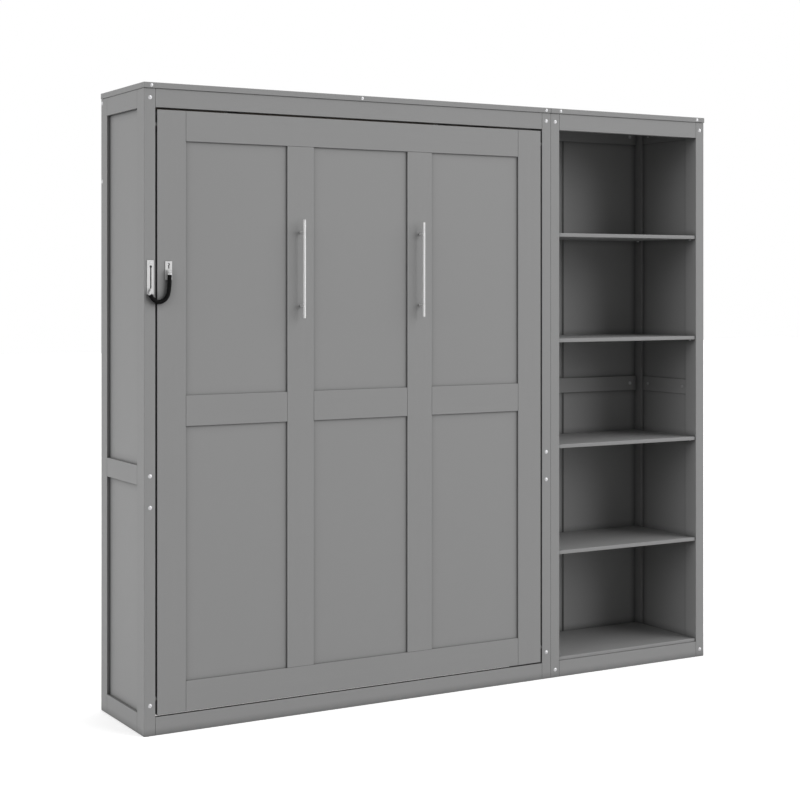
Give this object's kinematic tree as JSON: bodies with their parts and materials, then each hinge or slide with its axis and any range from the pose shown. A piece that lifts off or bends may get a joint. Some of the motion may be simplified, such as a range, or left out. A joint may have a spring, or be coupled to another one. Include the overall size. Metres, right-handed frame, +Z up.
{
  "type": "murphy wall bed",
  "caption": "Upright wall bed with a panelled fold-down front, pull bars, gas struts, a folding foot leg and an open shelf unit joined at its side.",
  "frame": {"origin": "centre of the bounding box on the floor, measured without the chain", "axes": "+X along the front to the right, +Y into the wall, +Z up"},
  "size_m": [2.4793, 0.456, 2.24],
  "materials": {
    "grey_board": "smooth satin grey paint",
    "grey_lid": "smooth satin grey paint",
    "slat_wood": "clear lacquered plywood",
    "dark_plastic": "matt",
    "steel_bolt": "bright plated",
    "brushed": "fine brushed",
    "black_steel": "powder coat",
    "steel_plate": "zinc grey",
    "rod_steel": "polished",
    "rubber_grey": "matt",
    "bush_plastic": "matt",
    "sleeve": "matt black sleeve"
  },
  "bodies": {
    "cabinet": {"bed_post_front_left": "grey_board", "bed_post_front_right": "grey_board", "bed_posts_rear": "grey_board", "bed_side_rails": "grey_board", "bed_inner_rails": "grey_board", "bed_side_panels": "grey_board", "bed_front_rails": "grey_board", "bed_rear_rails": "grey_board", "bed_top_panel": "grey_lid", "top_edge_strips": "grey_lid", "top_edge_screws": "steel_bolt", "frame_bolts": "steel_bolt", "dowels": "slat_wood", "cabinet_screws": "steel_bolt", "wall_brackets": "steel_plate", "bed_stop_blocks": "grey_board", "cabinet_pads": "rubber_grey", "pivot_plates": "steel_plate", "strut_brackets": "steel_plate", "chain_slot_plate": "brushed", "shelf_post_front_left": "grey_board", "shelf_post_front_right": "grey_board", "shelf_posts_rear": "grey_board", "shelf_side_rails": "grey_board", "shelf_side_panels": "grey_board", "shelf_back_rails": "grey_board", "shelf_back_panels": "grey_board", "shelf_back_joiners": "dark_plastic", "shelf_front_rails": "grey_board", "shelf_bottom_board": "grey_board", "shelf_boards": "grey_board", "shelf_pins": "steel_bolt", "shelf_top_panel": "grey_lid", "cam_locks": "steel_bolt"},
    "bed": {"front_stile_left": "grey_board", "front_stile_right": "grey_board", "front_end_rails": "grey_board", "front_mullions": "grey_board", "front_mid_rails": "grey_board", "front_panels": "grey_board", "handles": "brushed", "bed_screws": "steel_bolt", "bed_side_boards": "grey_board", "bed_end_boards": "grey_board", "slat_supports": "slat_wood", "slats": "slat_wood", "pivot_bushes": "bush_plastic", "strut_studs": "steel_bolt", "leg_bolts": "steel_bolt", "chain_anchor_plate": "brushed"},
    "foot_leg": {"leg_arms": "black_steel", "leg_cross_tube": "black_steel", "leg_feet": "rubber_grey"},
    "strut_cylinder_l": {"strut_cylinder_left": "black_steel"},
    "strut_cylinder_r": {"strut_cylinder_right": "black_steel"},
    "strut_rod_l": {"strut_rod_left": "rod_steel"},
    "strut_rod_r": {"strut_rod_right": "rod_steel"},
    "chain": {"chain_sleeve": "sleeve", "chain_fittings": "brushed"}
  },
  "joints": [
    {"name": "bed_fold", "type": "hinge", "parent": "cabinet", "child": "bed", "pos_m": [-0.3888, -0.153, 0.3], "axis": [1, 0, 0], "range_deg": [0, 90], "stiffness_Nm_per_rad": 280, "springref_deg": -5.73},
    {"name": "foot_leg_swing", "type": "hinge", "parent": "bed", "child": "foot_leg", "pos_m": [-0.3888, -0.093, 2.11], "axis": [1, 0, 0], "range_deg": [0, 220]},
    {"name": "strut_swing_l", "type": "hinge", "parent": "cabinet", "child": "strut_cylinder_l", "pos_m": [-1.2063, -0.013, 0.735], "axis": [1, 0, 0], "range_deg": [-2.99, 0]},
    {"name": "strut_stroke_l", "type": "slide", "parent": "strut_cylinder_l", "child": "strut_rod_l", "axis": [0, 0.1351, 0.9908], "range_m": [0, 0.1403]},
    {"name": "strut_swing_r", "type": "hinge", "parent": "cabinet", "child": "strut_cylinder_r", "pos_m": [0.4287, -0.013, 0.735], "axis": [1, 0, 0], "range_deg": [-2.99, 0]},
    {"name": "strut_stroke_r", "type": "slide", "parent": "strut_cylinder_r", "child": "strut_rod_r", "axis": [0, 0.1351, 0.9908], "range_m": [0, 0.1403]},
    {"name": "chain_swing", "type": "hinge", "parent": "bed", "child": "chain", "pos_m": [-1.1478, -0.2035, 1.592], "axis": [1, 0, 0], "range_deg": [-90, 0]}
  ],
  "couplings": [
    {"joint": "foot_leg_swing", "follows": "bed_fold", "ratio": 2.4444},
    {"joint": "strut_swing_l", "follows": "bed_fold", "ratio": -0.032983},
    {"joint": "strut_stroke_l", "follows": "bed_fold", "m_per_rad": 0.089255},
    {"joint": "strut_swing_r", "follows": "bed_fold", "ratio": -0.032983},
    {"joint": "strut_stroke_r", "follows": "bed_fold", "m_per_rad": 0.089255}
  ]
}
